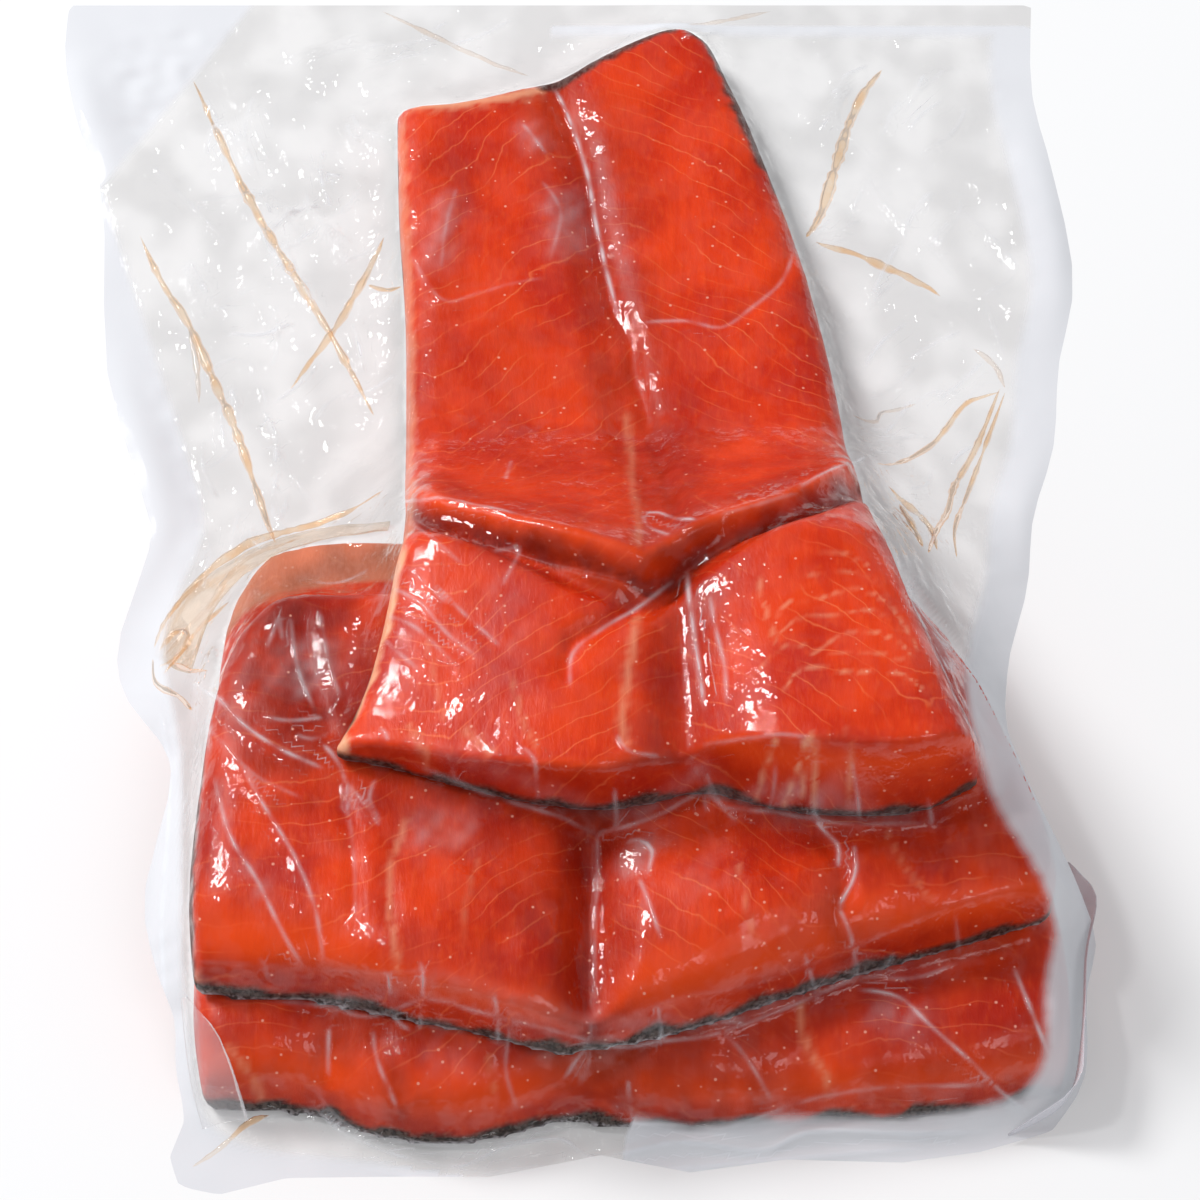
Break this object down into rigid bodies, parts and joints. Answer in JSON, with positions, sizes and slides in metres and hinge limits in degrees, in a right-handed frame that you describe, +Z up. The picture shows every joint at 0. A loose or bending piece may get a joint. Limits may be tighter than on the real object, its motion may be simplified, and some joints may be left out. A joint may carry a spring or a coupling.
{
  "type": "vacuum pack of smoked steelhead",
  "caption": "Smoked steelhead fillet portions, shingled with the tail portion on top, sealed in a clear vacuum pouch with a loose wavy edge.",
  "frame": {"origin": "on the surface the pack lies on, under the middle of the pouch", "axes": "+Z up; +Y along the pouch, from the thick stacked end to the sealed tail end; +X to the right as the picture shows it"},
  "size_m": [0.2081, 0.284, 0.0546],
  "materials": {
    "flesh": "wet smoked fish flesh under clinging film, glossy",
    "skin": "dark olive to silver fish skin, satin",
    "film": "clear glossy pouch film",
    "flange": "two films sealed together, finely embossed, milky",
    "juice": "amber juice and oil caught in the film's wrinkles"
  },
  "bodies": {
    "root": {"fillet_lower": "flesh", "fillet_middle": "flesh", "fillet_tail": "flesh", "pouch": "film"}
  },
  "joints": []
}
